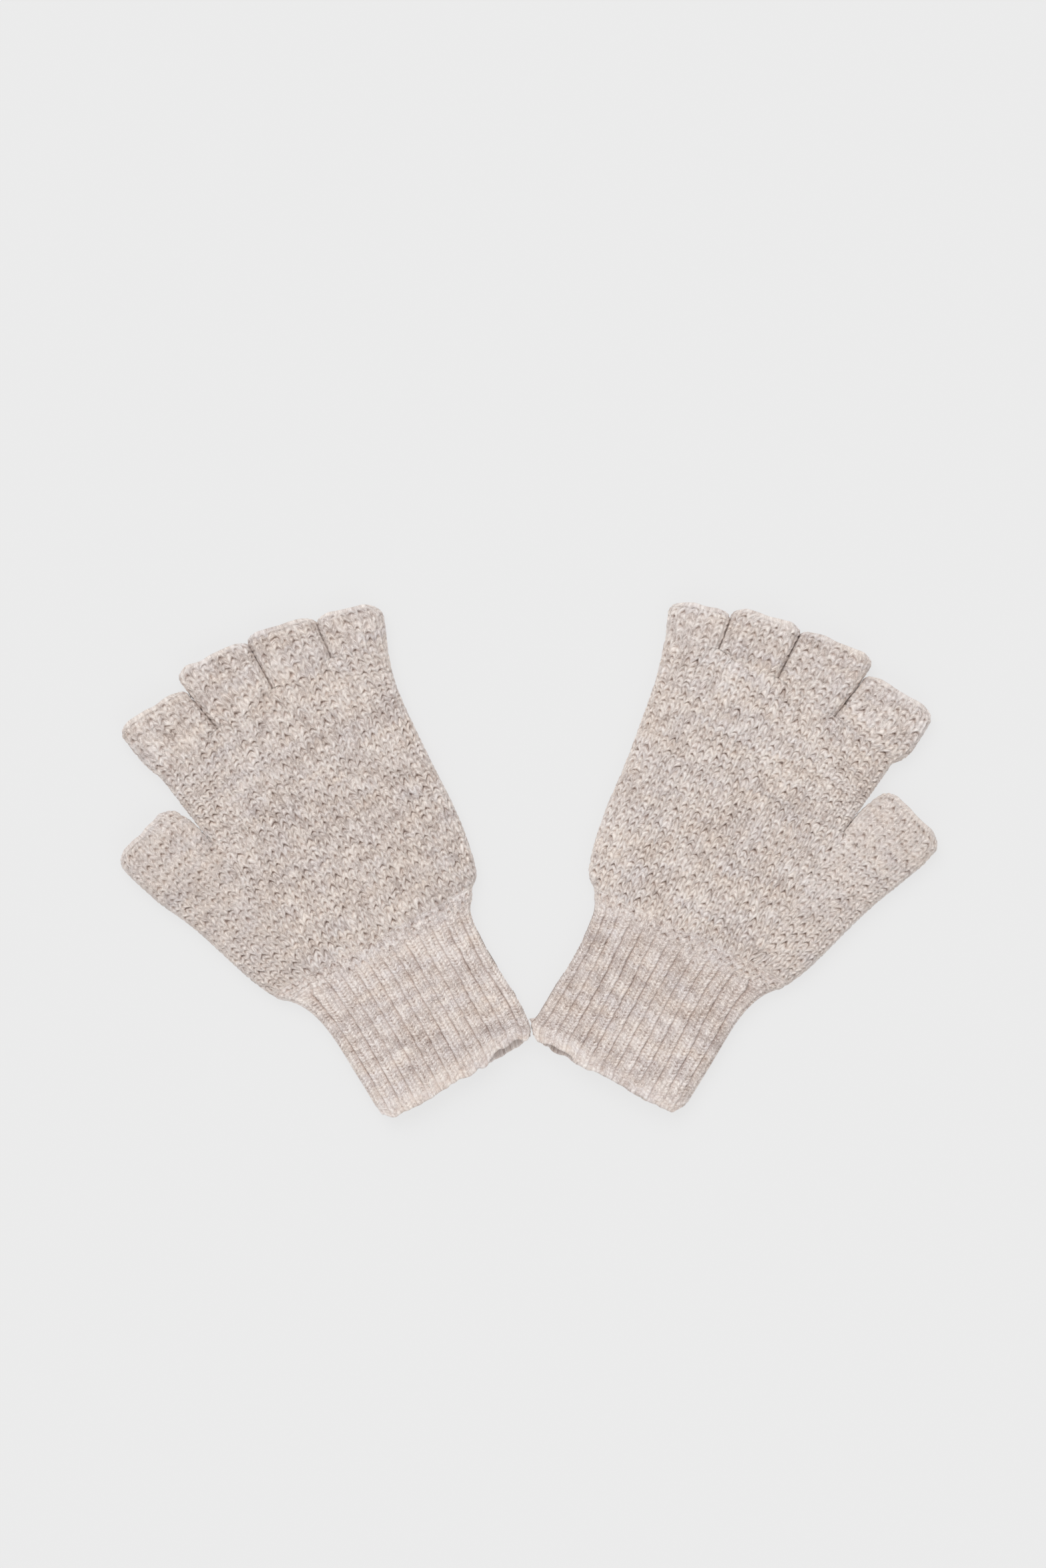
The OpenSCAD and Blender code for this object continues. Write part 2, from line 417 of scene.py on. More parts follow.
def run_over(samples, z):
    """How far along its curved surface each point of a row lies from the row's first point."""
    step = np.sqrt((np.diff(samples, axis=1) ** 2).sum(-1) + np.diff(z, axis=1) ** 2)
    return np.concatenate([np.zeros((len(step), 1)), np.cumsum(step, axis=1)], 1)


def spread(glove, left, right, samples, columns, right_on_rim=True):
    """Rows of plan points from left to right, evenly spaced over the curved surface."""
    rows = left[:, None] + (right - left)[:, None] * shares(samples)[None, :, None]
    z = body(glove.outline, rows, glove.seed)["top"][0]
    z[:, 0] = RIM_HEIGHT
    if right_on_rim:
        z[:, -1] = RIM_HEIGHT
    run = run_over(rows, z)
    t = np.linspace(0, 1, columns + 1)
    out = np.empty((len(rows), columns + 1, 2))
    for r in range(len(rows)):
        for k in (0, 1):
            out[r, :, k] = np.interp(t * run[r, -1], run[r], rows[r, :, k])
    return out


def shares(count):
    """Shares from 0 to 1, crowded towards the ends."""
    return 0.5 - 0.5 * np.cos(np.pi * np.linspace(0, 1, count))


# ---------------------------------------------------------------- the knit

# How many courses a stitch's arch rises, and how round it is; 1 would be a pointed arch
ARCH_RISE = 0.74
ARCH_ROUND = 1.55


def knit(u, v, d, seed, plain=0.0):
    """The hand's stitches: u counts wales and v counts courses. Each stitch is a round arch with two steep
    legs, and every other arch, a wale further along on each course, is tucked and stands open. Where plain is
    above 0 the tucks fade. Returns the relief in millimetres, the shade painted into the colour as how open
    to the light each point is, the marl's two shades, and the coordinates of the fibres along each leg."""
    # The rows and columns wander
    u = u + 0.15 * noise(u / 3.1, v / 3.7, seed + 2) + 0.17 * noise(u * 0.9, v * 0.8, seed + 3)
    v = v + 0.20 * noise(u / 4.3, v / 2.9, seed + 4) + 0.24 * noise(u * 0.9 + 9, v * 0.9, seed + 5)
    wale = np.floor(u)
    across = u - wale
    centre = 0.5 + 0.12 * noise(wale, v, seed + 30)
    leg = np.where(across > centre, 1, 0)
    m = np.where(leg, (across - centre) / (1 - centre), (centre - across) / centre)
    rise = ARCH_RISE * (1 + 0.32 * noise(wale, v, seed + 6))
    vs = v - rise * (1 - m ** ARCH_ROUND)
    course = np.floor(vs)
    f = vs - course
    calm = ease((d - 0.15) / 0.8)
    r_leg = chance(wale * 2 + leg, course, seed + 7) * calm
    r_wide = chance(wale * 2 + leg, course, seed + 16) * calm
    # The line over each arch belongs to the nearest whole course
    line = np.floor(vs + 0.5)
    below = vs - line
    r_hole = chance(wale, line, seed + 8)
    r_row = chance(wale, line, seed + 21)
    tuck = np.mod(wale + line, 2) * (1 - 1.6 * plain)
    # Valleys: down the middle of the stitch, between wales, and a crescent over each arch; each is a dent in
    # the relief and painted shade in the colour
    middle = bell(m, 0.20) * (0.13 + 0.30 * plain + 0.10 * r_wide)
    between = bell(1 - m, 0.15) * (0.19 + 0.22 * plain + 0.22 * r_wide)
    reach = 1 - ease((m - 0.18 - 0.20 * tuck - 0.26 * r_row) / 0.36)
    row = bell(below, np.where(below < 0, 0.17, 0.12)) * (0.12 + reach * (0.24 + 0.22 * tuck + 0.27 * r_row))
    plump = np.sin(np.pi * np.clip(m, 0.02, 0.98)) ** 0.7 * np.sin(np.pi * np.clip(f, 0.02, 0.98)) ** 0.5
    relief = (0.50 + 0.50 * plump) * (1 + 0.20 * r_leg) - middle - between - row
    # Some arches stand open over a small hole: a dent in the relief, with shade painted into it
    hole = bell(m, 0.30) * bell(below + 0.14, 0.15)
    deep = hole * np.clip(0.36 * tuck + 0.72 * r_hole + 0.02 - plain, 0, 1) * calm
    rough = noise(u * 6.3, v * 4.7, seed + 17) + 0.6 * noise(u * 11.0, v * 8.3, seed + 18)
    height = 1.0 * (relief - 0.5) + 0.15 * rough * calm - 0.52 * deep
    height = height * (0.45 + 0.55 * ease(d / 1.6))
    # Painted shade: the colour darkens in the valleys and the holes, and the fine bumps get a little painted
    # light and shade
    light = np.clip(1.04 - 1.0 * middle - 0.9 * between - 1.05 * row + 0.16 * rough, 0.05, 1)
    light = light * (1 - 0.66 * deep)
    shade, warm = marl(u, vs, course, seed)
    shade = shade + 0.90 * r_leg + 0.80 * noise(u * 3.3, v * 2.9, seed + 19)
    # The fibres run up along each leg, a little steeper than its edges
    fibre = np.stack([
        2.4 * f + 0.9 * m + 5.3 * (wale * 2 + leg),
        1.5 * m - 0.9 * f + 3.7 * course,
        np.full_like(m, seed % 17),
    ], -1)
    return height, light, shade, warm, fibre


def marl(u, v, course, seed):
    """The two shades of the marled yarn, each from -1 to 1: pale or dark, and warm or cool."""
    along = 0.42 * noise(u / 2.6 + 11 * chance(course, 1, seed + 9), course * 5.5 + 0.5, seed + 10)
    patch = 0.34 * noise(u / 4.5, v / 2.2, seed + 11) + 0.26 * noise(u / 12 + 5, v / 6, seed + 12)
    spots = 0.42 * noise(u * 1.4, v * 1.3, seed + 13)
    shade = along + patch + spots
    warm = 0.5 * noise(u / 3.7, v / 1.9 + 3, seed + 14) + 0.5 * noise(u / 1.7, course * 3.3, seed + 15)
    return shade, warm


# Ribs across the cuff, columns of quads across each, and the share of a rib that its knit column takes
RIBS = 13
RIB_COLUMNS = 16
KNIT_SHARE = 10 / 16
# The height of a course, and how far down the tips of its stitches hang, in courses
RIB_COURSE = 1.27
RIB_CHEVRON = 0.85


def rib(u, v, d, seed, fade):
    """The cuff's ribs: u counts ribs and v counts courses. Each rib is a column of stitches with their tips
    down, a narrow column of purl dots and a groove. The relief lessens with fade, down to none at 0; the
    shade painted into the colour lessens with it, to a little under half."""
    u = u + 0.05 * noise(u / 2.0, v / 9, seed + 2) + 0.03 * noise(u * 1.9, v / 2.5, seed + 3)
    v = v + 0.30 * noise(u / 1.4, v / 5, seed + 4) + 0.25 * noise(u * 2.3, v * 0.6, seed + 5)
    col = np.floor(u)
    across = u - col
    calm = ease((d - 0.15) / 0.8)
    # Random depth of the valleys, which also sets how much shade is painted in them
    valley_noise = 0.5 + 0.5 * noise(u * 0.9, v / 7, seed + 22)
    # The knit column
    k = across / KNIT_SHARE
    is_knit = k < 1
    m = np.clip(np.abs(k - 0.5) * 2, 0, 1)
    vs = v + RIB_CHEVRON * (1 - np.sqrt(m * m + 0.02))
    course = np.floor(vs)
    f = vs - course
    half = col * 2 + (k > 0.5)
    r_leg = chance(half, course, seed + 7) * calm
    r_row = chance(half, course, seed + 21)
    row = bell(np.minimum(f, 1 - f), 0.2) * (0.24 + 0.22 * r_row)
    middle = bell(m, 0.2) * (0.14 + 0.16 * valley_noise)
    plump = np.sin(np.pi * np.clip(m, 0.03, 0.97)) ** 0.6
    # Painted shade: a dark spot at each stitch's tip
    tip_shade = bell(m, 0.34) * bell(f - 0.12, 0.2) * (0.45 + 0.55 * r_row)
    knit_part = (0.45 + 0.55 * plump) * (1 + 0.22 * r_leg) - row - middle
    # The purl column, sunk between the knit columns
    p = np.clip((across - KNIT_SHARE) / (1 - KNIT_SHARE), 0, 1)
    purl_course = np.floor(v)
    pf = v - purl_course
    r_purl = chance(col, purl_course, seed + 8)
    bead = np.sqrt(np.clip(1 - (np.abs(p - 0.46) / 0.46) ** 2.4, 0, 1)) * np.sin(np.pi * pf) ** 0.8
    groove = bell(p - 0.96, 0.22) * (0.40 + 0.60 * valley_noise) + bell(p, 0.12) * 0.35 * (1 - valley_noise)
    broad = bell(p - 0.86, 0.42) * (0.6 + 0.4 * valley_noise)
    dot = bell(p - 0.3, 0.24) * bell(pf - 0.05, 0.24) * (0.5 + 0.5 * r_purl)
    purl_part = 0.30 + 0.36 * bead * (1 + 0.3 * r_purl) - 0.22 * groove - 0.30 * dot
    rough = noise(u * 9.0, v * 1.5, seed + 17) + 0.7 * noise(u * 15.0, v * 2.6, seed + 18)
    relief = np.where(is_knit, 0.42 + 0.55 * knit_part, purl_part)
    height = (0.95 * (relief - 0.55) + 0.13 * rough * calm) * fade
    # Painted shade: the knit column darkens in its valleys and at the tips, the purl column in its groove,
    # beside it and round its dots
    knit_light = 1.0 - 0.95 * row - 0.70 * middle - 0.70 * tip_shade
    purl_light = 0.96 - 0.40 * groove - 0.30 * broad - 0.75 * dot - 0.10 * (1 - bead)
    light = np.where(is_knit, knit_light, purl_light)
    light = 1 - (1 - np.clip(light + 0.07 * rough, 0.08, 1)) * (0.45 + 0.55 * fade)
    shade, warm = marl(u * 1.7, vs * 0.55, np.floor(vs / 2), seed + 20)
    bands = noise(u * 0.55, v / 3.2, seed + 23) + 0.7 * noise(u * 1.3, v / 1.9, seed + 24)
    shade = 0.8 * shade + 0.58 * bands + 0.55 * r_leg + 0.6 * noise(u * 5, v * 0.9, seed + 19)
    fibre = np.stack([
        np.where(is_knit, (m - 0.5) * 1.5 + 5.3 * half, p * 2 + 5.3 * col + 2.2),
        f * 1.6 + 3.7 * course,
        np.full_like(m, 3.0 + seed % 17),
    ], -1)
    return height, light, shade, warm, fibre


# ---------------------------------------------------------------- meshes


class Piece:
    """A mesh gathered from grids of points, with the fabric's shades as attributes of its points."""

    def __init__(self, glove, name):
        self.glove, self.name = glove, name
        self.points, self.tints, self.fibres = [], [], []
        self.count = 0
        self.quads, self.quad_uv, self.tris, self.tri_uv = [], [], [], []

    def add(self, points, light, shade, warm, fibre, pale=0.0):
        """Adds a grid of points and returns the grid of their numbers."""
        shape = points.shape[:-1]
        tints = [np.broadcast_to(value, shape) for value in (light, shade, warm, pale)]
        self.points.append(points.reshape(-1, 3))
        self.tints.append(np.stack(tints, -1).reshape(-1, 4))
        self.fibres.append(np.broadcast_to(fibre, shape + (3,)).reshape(-1, 3))
        n = int(np.prod(shape))
        numbers = np.arange(self.count, self.count + n).reshape(shape)
        self.count += n
        return numbers

    def grid(self, numbers, box, flip=False):
        """Quads between the rows and columns of a grid of point numbers."""
        rows, cols = numbers.shape
        a, b = numbers[:-1, :-1], numbers[:-1, 1:]
        c, d = numbers[1:, 1:], numbers[1:, :-1]
        quads = np.stack([a, b, c, d], -1).reshape(-1, 4)
        u = box[0] + (box[2] - box[0]) * np.arange(cols) / (cols - 1)
        v = box[1] + (box[3] - box[1]) * np.arange(rows) / (rows - 1)
        uu, vv = np.meshgrid(u, v)
        at = np.stack([uu, vv], -1)
        uv = np.stack([at[:-1, :-1], at[:-1, 1:], at[1:, 1:], at[1:, :-1]], -2).reshape(-1, 4, 2)
        if flip:
            quads, uv = quads[:, ::-1], uv[:, ::-1]
        self.quads.append(quads)
        self.quad_uv.append(uv)

    def join(self, long, short, box, flip=False):
        """Triangles between two rows of point numbers that cover the same stretch with different counts."""
        n, m = len(long), len(short)
        i = j = 0
        tris = []
        while i < n - 1 or j < m - 1:
            if j == m - 1 or (i < n - 1 and (i + 1) * (m - 1) <= (j + 1) * (n - 1)):
                tris.append((long[i], long[i + 1], short[j]))
                i += 1
            else:
                tris.append((long[i], short[j + 1], short[j]))
                j += 1
        tris = np.array(tris)
        k = np.arange(len(tris)) / len(tris)
        left = box[0] + (box[2] - box[0]) * k
        step = (box[2] - box[0]) / len(tris) * 0.9
        uv = np.stack([
            np.stack([left, np.full_like(left, box[1])], -1),
            np.stack([left + step, np.full_like(left, box[1])], -1),
            np.stack([left, np.full_like(left, box[3])], -1),
        ], 1)
        if flip:
            tris, uv = tris[:, ::-1], uv[:, ::-1]
        self.tris.append(tris)
        self.tri_uv.append(uv)

    def build(self, slot, node):
        """Makes the mesh, in place of this CAD node."""
        glove = self.glove
        points = glove.place(np.vstack(self.points)) * MM
        # The mirrored glove's faces turn the other way
        way = glove.mirror
        faces = (self.quads, self.tris, self.quad_uv, self.tri_uv)
        quads, tris, quad_uv, tri_uv = [np.vstack(rows)[:, ::way] for rows in faces]
        mesh = bpy.data.meshes.new(self.name)
        mesh.vertices.add(len(points))
        mesh.vertices.foreach_set("co", points.astype(np.float32).ravel())
        corners = np.concatenate([quads.ravel(), tris.ravel()]).astype(np.int32)
        mesh.loops.add(len(corners))
        mesh.loops.foreach_set("vertex_index", corners)
        starts = np.concatenate([np.arange(len(quads)) * 4, len(quads) * 4 + np.arange(len(tris)) * 3])
        mesh.polygons.add(len(starts))
        mesh.polygons.foreach_set("loop_start", starts.astype(np.int32))
        mesh.update(calc_edges=True)
        mesh.polygons.foreach_set("use_smooth", np.ones(len(starts), bool))
        layer = mesh.uv_layers.new(name="OFBake")
        layer.data.foreach_set("uv", np.concatenate([quad_uv.ravel(), tri_uv.ravel()]).astype(np.float32))
        tint = np.vstack(self.tints)
        tint[:, 1] += glove.tone
        # light carries the shade painted between the stitches; shade, warm and pale shift the yarn's colour
        for k, name in enumerate(("light", "shade", "warm", "pale")):
            values = tint[:, k].astype(np.float32)
            mesh.attributes.new(name, "FLOAT", "POINT").data.foreach_set("value", values)
        fibres = np.vstack(self.fibres).astype(np.float32)
        mesh.attributes.new("fibre", "FLOAT_VECTOR", "POINT").data.foreach_set("vector", fibres.ravel())
        mesh.materials.append(MATERIALS[slot])
        ob = new_object(self.name, mesh)
        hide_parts(node)
        glove.pieces.append(ob)
        return ob


# ---------------------------------------------------------------- materials


# The yarn's colours from dark to pale, its tints from cool to warm, and the shade painted between the
# stitches
YARN_DARK = (0.42, 0.345, 0.31)
YARN_PALE = (0.95, 0.89, 0.84)
YARN_BETWEEN = ((0.28, (0.60, 0.52, 0.48)), (0.5, (0.75, 0.67, 0.625)), (0.72, (0.86, 0.785, 0.74)))
TINT_COOL = (0.925, 0.938, 0.98)
TINT_WARM = (1.0, 0.952, 0.897)
TINT_MIDDLE = (0.5, (0.985, 0.975, 0.965))
PAINTED_SHADE_DARK = (0.26, 0.19, 0.16)
PAINTED_SHADE_MIDDLE = (0.45, (0.74, 0.67, 0.64))


def wool_material(name, lift, hue_shift):
    """Marled wool. The yarn's shade, the shade painted between the stitches and the run of the fibres come
    from the mesh's attributes, and the fine mix of fibres comes from noise stretched along them."""
    material, shader = new_material(name)
    nodes, links = material.node_tree.nodes, material.node_tree.links

    def attribute(which, output="Fac"):
        node = nodes.new("ShaderNodeAttribute")
        node.attribute_name = which
        return node.outputs[output]

    def connect(node, values):
        for i, value in values:
            if isinstance(value, (int, float)):
                node.inputs[i].default_value = value
            else:
                links.new(value, node.inputs[i])

    def maths(operation, *values):
        node = nodes.new("ShaderNodeMath")
        node.operation = operation
        connect(node, enumerate(values))
        return node.outputs[0]

    def fibre_noise(stretch, detail, rough):
        run = nodes.new("ShaderNodeVectorMath")
        run.operation = "MULTIPLY"
        links.new(attribute("fibre", "Vector"), run.inputs[0])
        run.inputs[1].default_value = stretch
        node = nodes.new("ShaderNodeTexNoise")
        set_inputs(node, {"Scale": 1.0, "Detail": detail, "Roughness": rough})
        links.new(run.outputs[0], node.inputs["Vector"])
        return node.outputs["Fac"]

    def ramp(factor, first, last, *between):
        node = nodes.new("ShaderNodeValToRGB")
        elements = node.color_ramp.elements
        elements[0].color, elements[1].color = (*first, 1), (*last, 1)
        for position, colour in between:
            elements.new(position).color = (*colour, 1)
        links.new(factor, node.inputs["Fac"])
        return node.outputs["Color"]

    def multiply(first, second):
        node = nodes.new("ShaderNodeMix")
        node.data_type = "RGBA"
        node.blend_type = "MULTIPLY"
        connect(node, ((0, 1.0), (6, first), (7, second)))
        return node.outputs[2]

    streaks = fibre_noise((3.0, 0.8, 1.0), 3.0, 0.65)
    specks = fibre_noise((1.6, 1.2, 1.0), 4.0, 0.75)
    off_specks = maths("SUBTRACT", specks, 0.5)
    shade = maths("MULTIPLY", attribute("shade"), 0.22)
    mix = maths("MULTIPLY_ADD", maths("SUBTRACT", streaks, 0.5), 2.2, shade)
    mix = maths("ADD", mix, maths("MULTIPLY", off_specks, 2.7))
    mix = maths("ADD", mix, 0.56 + lift)
    mix = maths("MULTIPLY_ADD", attribute("pale"), 0.22, mix)
    hue = maths("MULTIPLY_ADD", attribute("warm"), 0.42, 0.5 + hue_shift)
    hue = maths("ADD", hue, maths("MULTIPLY", off_specks, 0.8))
    yarn = ramp(mix, YARN_DARK, YARN_PALE, *YARN_BETWEEN)
    tint = ramp(hue, TINT_COOL, TINT_WARM, TINT_MIDDLE)
    # Painted shade: where the light attribute is low, the colour darkens towards a dark brown
    painted_shade = ramp(attribute("light"), PAINTED_SHADE_DARK, (1.0, 1.0, 1.0), PAINTED_SHADE_MIDDLE)
    links.new(multiply(multiply(yarn, tint), painted_shade), shader.inputs["Base Color"])
    bump = nodes.new("ShaderNodeBump")
    set_inputs(bump, {"Strength": 0.55, "Distance": 0.0006})
    links.new(streaks, bump.inputs["Height"])
    links.new(bump.outputs["Normal"], shader.inputs["Normal"])
    set_inputs(shader, {
        "Roughness": 0.95,
        "Specular IOR Level": 0.15,
        "Sheen Weight": 0.5,
        "Sheen Roughness": 0.5,
        "Sheen Tint": (1.0, 0.95, 0.9, 1.0),
    })
    return material


MATERIALS = {
    "hand_knit": wool_material("hand_knit", 0.0, -0.04),
    "rib": wool_material("rib", 0.0, -0.14),
    "edge": wool_material("edge", 0.06, -0.14),
}

# ---------------------------------------------------------------- the pieces of one glove

# Stitches across the fingers' roots, and the width of a stitch on the thumb and near the rim
WALES = 31
WALE = 2.95
# A stitch's width low on the palm, as a share of its width at the roots
GATHER_IN = 0.91
# Columns of quads across each finger's root and the gusset, and how far apart the rows are
PALM_COLUMNS = (80, 80, 80, 62)
GUSSET_COLUMNS = 74
ROW = 0.33
RIB_ROW = 0.32
# The fabric's rows, and on the hand its columns, to each one of the lining's
LINING_ROWS = 12
LINING_COLUMNS = 8
STALL_LINING_ROWS = 10
# The gusset's stitches and the underside's are numbered apart, and so differ from the palm's
GUSSET_WALES = 100
GUSSET_SEED = 3
UNDER_SEED = 40
UNDER_RIBS = 20.0


class Glove:
    """Where one glove lies, and how it differs from the pattern."""

    def __init__(self, side, at, lean, mirror, seed, outline, lift, under_lift, mouth, tone, cuff_tone):
        """lift says how far the cuff's top edge stands back, and from where to where, with how wide a step at
        either end; under_lift does so for the underside; mouth lists bumps in the edge, each a place, a width
        and a height; tone and cuff_tone are how much paler the whole glove and its cuff are coloured."""
        self.side, self.at, self.lean, self.mirror, self.seed = side, at, math.radians(lean), mirror, seed
        self.outline, self.lift, self.under_lift, self.mouth = outline, lift, under_lift, mouth
        self.tone, self.cuff_tone = tone, cuff_tone
        self.pieces = []

    def place(self, p):
        """From the glove's own frame to the pair's, in millimetres."""
        x, y = p[..., 0] * self.mirror, p[..., 1]
        c, s = math.cos(self.lean), math.sin(self.lean)
        return np.stack([self.at[0] + c * x - s * y, self.at[1] + s * x + c * y, p[..., 2]], -1)

    def point(self, x, y):
        """A point level with the rim, in the pair's frame and in metres."""
        return tuple(self.place(np.array([x, y, RIM_HEIGHT], float)) * MM)

    def surface(self, plan, side, rims):
        """Points, normals, edge distances, directions away from the edge and slit distances on the top or the
        underside; rims are the columns that lie on the rim, 0 for the first and -1 for the last."""
        inner = plan.copy()
        for c in rims:
            step = plan[:, 1 if c == 0 else -2] - plan[:, c]
            step /= np.maximum(np.linalg.norm(step, axis=-1, keepdims=True), 1e-9)
            inner[:, c] = plan[:, c] + 0.02 * step
        found = body(self.outline, inner, self.seed)
        z, normal, away = found[side]
        d = found["d"].copy()
        for c in rims:
            z[:, c] = RIM_HEIGHT
            normal[:, c] = np.concatenate([-away[:, c], np.zeros((len(plan), 1))], -1)
            d[:, c] = 0
        return np.concatenate([plan, z[..., None]], -1), normal, d, away, found["slit"]


def press_slits_and_paint_shade(light, height, slit):
    """Along the slits shade is painted into the fabric's colour, and the stalls press against each other."""
    return light * (1 - 0.22 * bell(slit, 0.40)), height + 0.15 * bell(slit, 0.9)


def fabric(u, v, d, away):
    """Wale and course counts, with the stretch round the rim."""
    shift = rim_shift(d)
    return u - away[..., 0] * shift / WALE, v - away[..., 1] * shift / COURSE


def gore_line(v):
    """The line between the palm and the thumb gusset."""
    return GORE_FOOT + (THUMB_INNER - GORE_FOOT) * (v / THUMB_COURSES)[:, None]


def palm_plan(glove):
    """Plan points over the palm, each row's course count, and which row is level with the thumb's crotch. The
    last row lies along the fingers' roots."""
    o = glove.outline
    roots = o.roots
    rows = int(round((CUFF_LENGTH + HAND_LENGTH - SEAM_TOP) / ROW))
    lower = int(round(rows * THUMB_COURSES / ROOT_COURSES))
    v = np.concatenate([
        np.linspace(0, THUMB_COURSES, lower + 1),
        np.linspace(THUMB_COURSES, ROOT_COURSES, rows - lower + 1)[1:],
    ])
    # The rows bend from straight at the thumb to the curve of the roots
    bend = ease((v - THUMB_COURSES) / (ROOT_COURSES - THUMB_COURSES))
    flat = SEAM_TOP + v * COURSE
    top = roots[2][1]
    y_left = flat + (roots[0][1] - top) * bend
    y_right = flat + (roots[4][1] - top) * bend
    left = np.where((v <= THUMB_COURSES)[:, None], gore_line(v), at_y(o.palm_left, y_left))
    left[lower] = THUMB_INNER
    right = at_y(o.palm_right, y_right)
    root_share = (roots[:, 0] - roots[0, 0]) / (roots[4, 0] - roots[0, 0])

    def on_row(share, r):
        x = left[r, :1] + (right[r, :1] - left[r, :1]) * share
        y = flat[r, None] + (np.interp(share, root_share, roots[:, 1]) - top) * bend[r, None]
        return np.stack([x, y], -1)

    close = 0.03 * shares(24)
    f = np.unique(np.concatenate([np.linspace(0, 1, 460), close, 1 - close, root_share]))
    samples = on_row(f, slice(None))
    run = run_over(samples, body(o, samples, glove.seed)["top"][0])
    total = sum(PALM_COLUMNS) + len(PALM_COLUMNS) - 1
    even = np.arange(total + 1) / total
    # Towards the roots the columns gather into one group for each finger, with a gap between groups
    grouped = ease((v - (ROOT_COURSES - 9)) / 8.5)
    plan = np.empty((rows + 1, total + 1, 2))
    for r in range(rows + 1):
        gap = CROTCH / (right[r, 0] - left[r, 0])
        marks = []
        for k, n in enumerate(PALM_COLUMNS):
            ends = [root_share[k] + (gap if k else 0), root_share[k + 1] - (gap if k < 3 else 0)]
            first, last = np.interp(ends, f, run[r])
            marks.append(first + (last - first) * np.arange(n + 1) / n)
        target = even * run[r, -1] * (1 - grouped[r]) + np.concatenate(marks) * grouped[r]
        plan[r] = on_row(np.interp(target, run[r], f), r)
    return plan, v, lower


def palm_wales(x, v):
    """Counts wales across the palm: upright lines low down, which fan out towards the roots."""
    middle = (ROOTS[0, 0] + ROOTS[4, 0]) / 2
    fan = GATHER_IN + (1 - GATHER_IN) * ease((v - 22) / (ROOT_COURSES - 22))
    return WALES * ((x - middle) / fan + middle - ROOTS[0, 0]) / (ROOTS[4, 0] - ROOTS[0, 0])


def like_palm(shade, warm, x, v, courses, seed):
    """Most of the shade of the thumb's yarn runs on from the palm's."""
    palm_shade, palm_warm = marl(palm_wales(x, v), courses, np.floor(courses), seed)
    return 0.25 * shade + 0.75 * palm_shade, 0.25 * warm + 0.75 * palm_warm


def coat(points, normal, height):
    """The points of the fabric, which stands this high on the surface."""
    return points + normal * height[..., None]


def every(step, count, *more):
    """The numbers from 0 to count - 1 in these steps, the last one, and any more that are given."""
    return np.unique(np.concatenate([np.arange(0, count, step), [count - 1], *more]))


